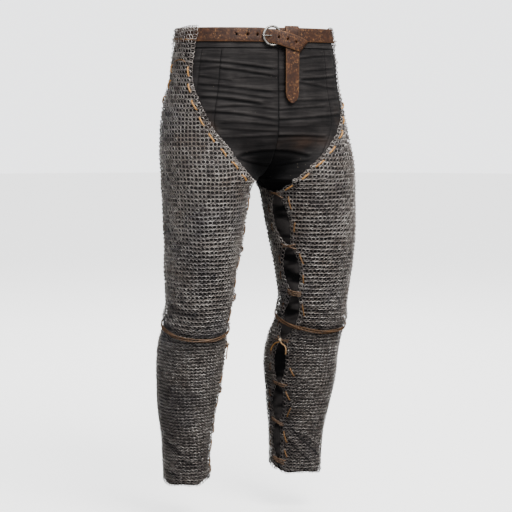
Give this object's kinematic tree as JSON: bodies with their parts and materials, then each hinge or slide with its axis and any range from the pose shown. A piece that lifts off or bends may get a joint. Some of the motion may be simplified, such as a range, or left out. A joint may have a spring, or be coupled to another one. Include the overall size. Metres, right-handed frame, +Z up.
{
  "type": "chainmail leggings",
  "caption": "Mail leggings laced over black cloth trousers, hung from a leather belt with a round buckle and tied below the knees with thongs.",
  "frame": {"origin": "middle of the wearer's waist at the middle of the belt's height", "axes": "+Z up, -Y to the front, +X to the wearer's left"},
  "size_m": [0.421, 0.2518, 0.9451],
  "materials": {
    "mail": "dull linked iron rings, lightly worn",
    "black_cloth": "black creased cloth with a soft sheen",
    "belt_leather": "brown scuffed leather",
    "thong": "tan twisted thong",
    "garter": "brown twisted thong",
    "buckle_metal": "worn plain steel"
  },
  "bodies": {
    "root": {"trousers_front_thigh_left": "black_cloth", "trousers_front_shin_left": "black_cloth", "trousers_side_front_thigh_left": "black_cloth", "trousers_side_front_shin_left": "black_cloth", "trousers_side_back_thigh_left": "black_cloth", "trousers_side_back_shin_left": "black_cloth", "trousers_back_thigh_left": "black_cloth", "trousers_back_shin_left": "black_cloth", "mail_thigh_left": "mail", "mail_shin_left": "mail", "garter_left": "garter", "lace_0_left": "thong", "lace_1_left": "thong", "lace_2_left": "thong", "lace_bow_left": "thong", "lace_4_left": "thong", "lace_5_left": "thong", "lace_6_left": "thong", "lace_end_outer_left": "thong", "lace_end_inner_left": "thong", "trousers_front_thigh_right": "black_cloth", "trousers_front_shin_right": "black_cloth", "trousers_side_front_thigh_right": "black_cloth", "trousers_side_front_shin_right": "black_cloth", "trousers_side_back_thigh_right": "black_cloth", "trousers_side_back_shin_right": "black_cloth", "trousers_back_thigh_right": "black_cloth", "trousers_back_shin_right": "black_cloth", "mail_thigh_right": "mail", "mail_shin_right": "mail", "garter_right": "garter", "lace_0_right": "thong", "lace_1_right": "thong", "lace_2_right": "thong", "lace_bow_right": "thong", "lace_4_right": "thong", "lace_5_right": "thong", "lace_6_right": "thong", "lace_end_outer_right": "thong", "lace_end_inner_right": "thong", "waistband_front": "black_cloth", "waistband_back": "black_cloth", "belt_strap": "belt_leather", "buckle_ring": "buckle_metal", "buckle_prong": "buckle_metal"}
  },
  "joints": []
}
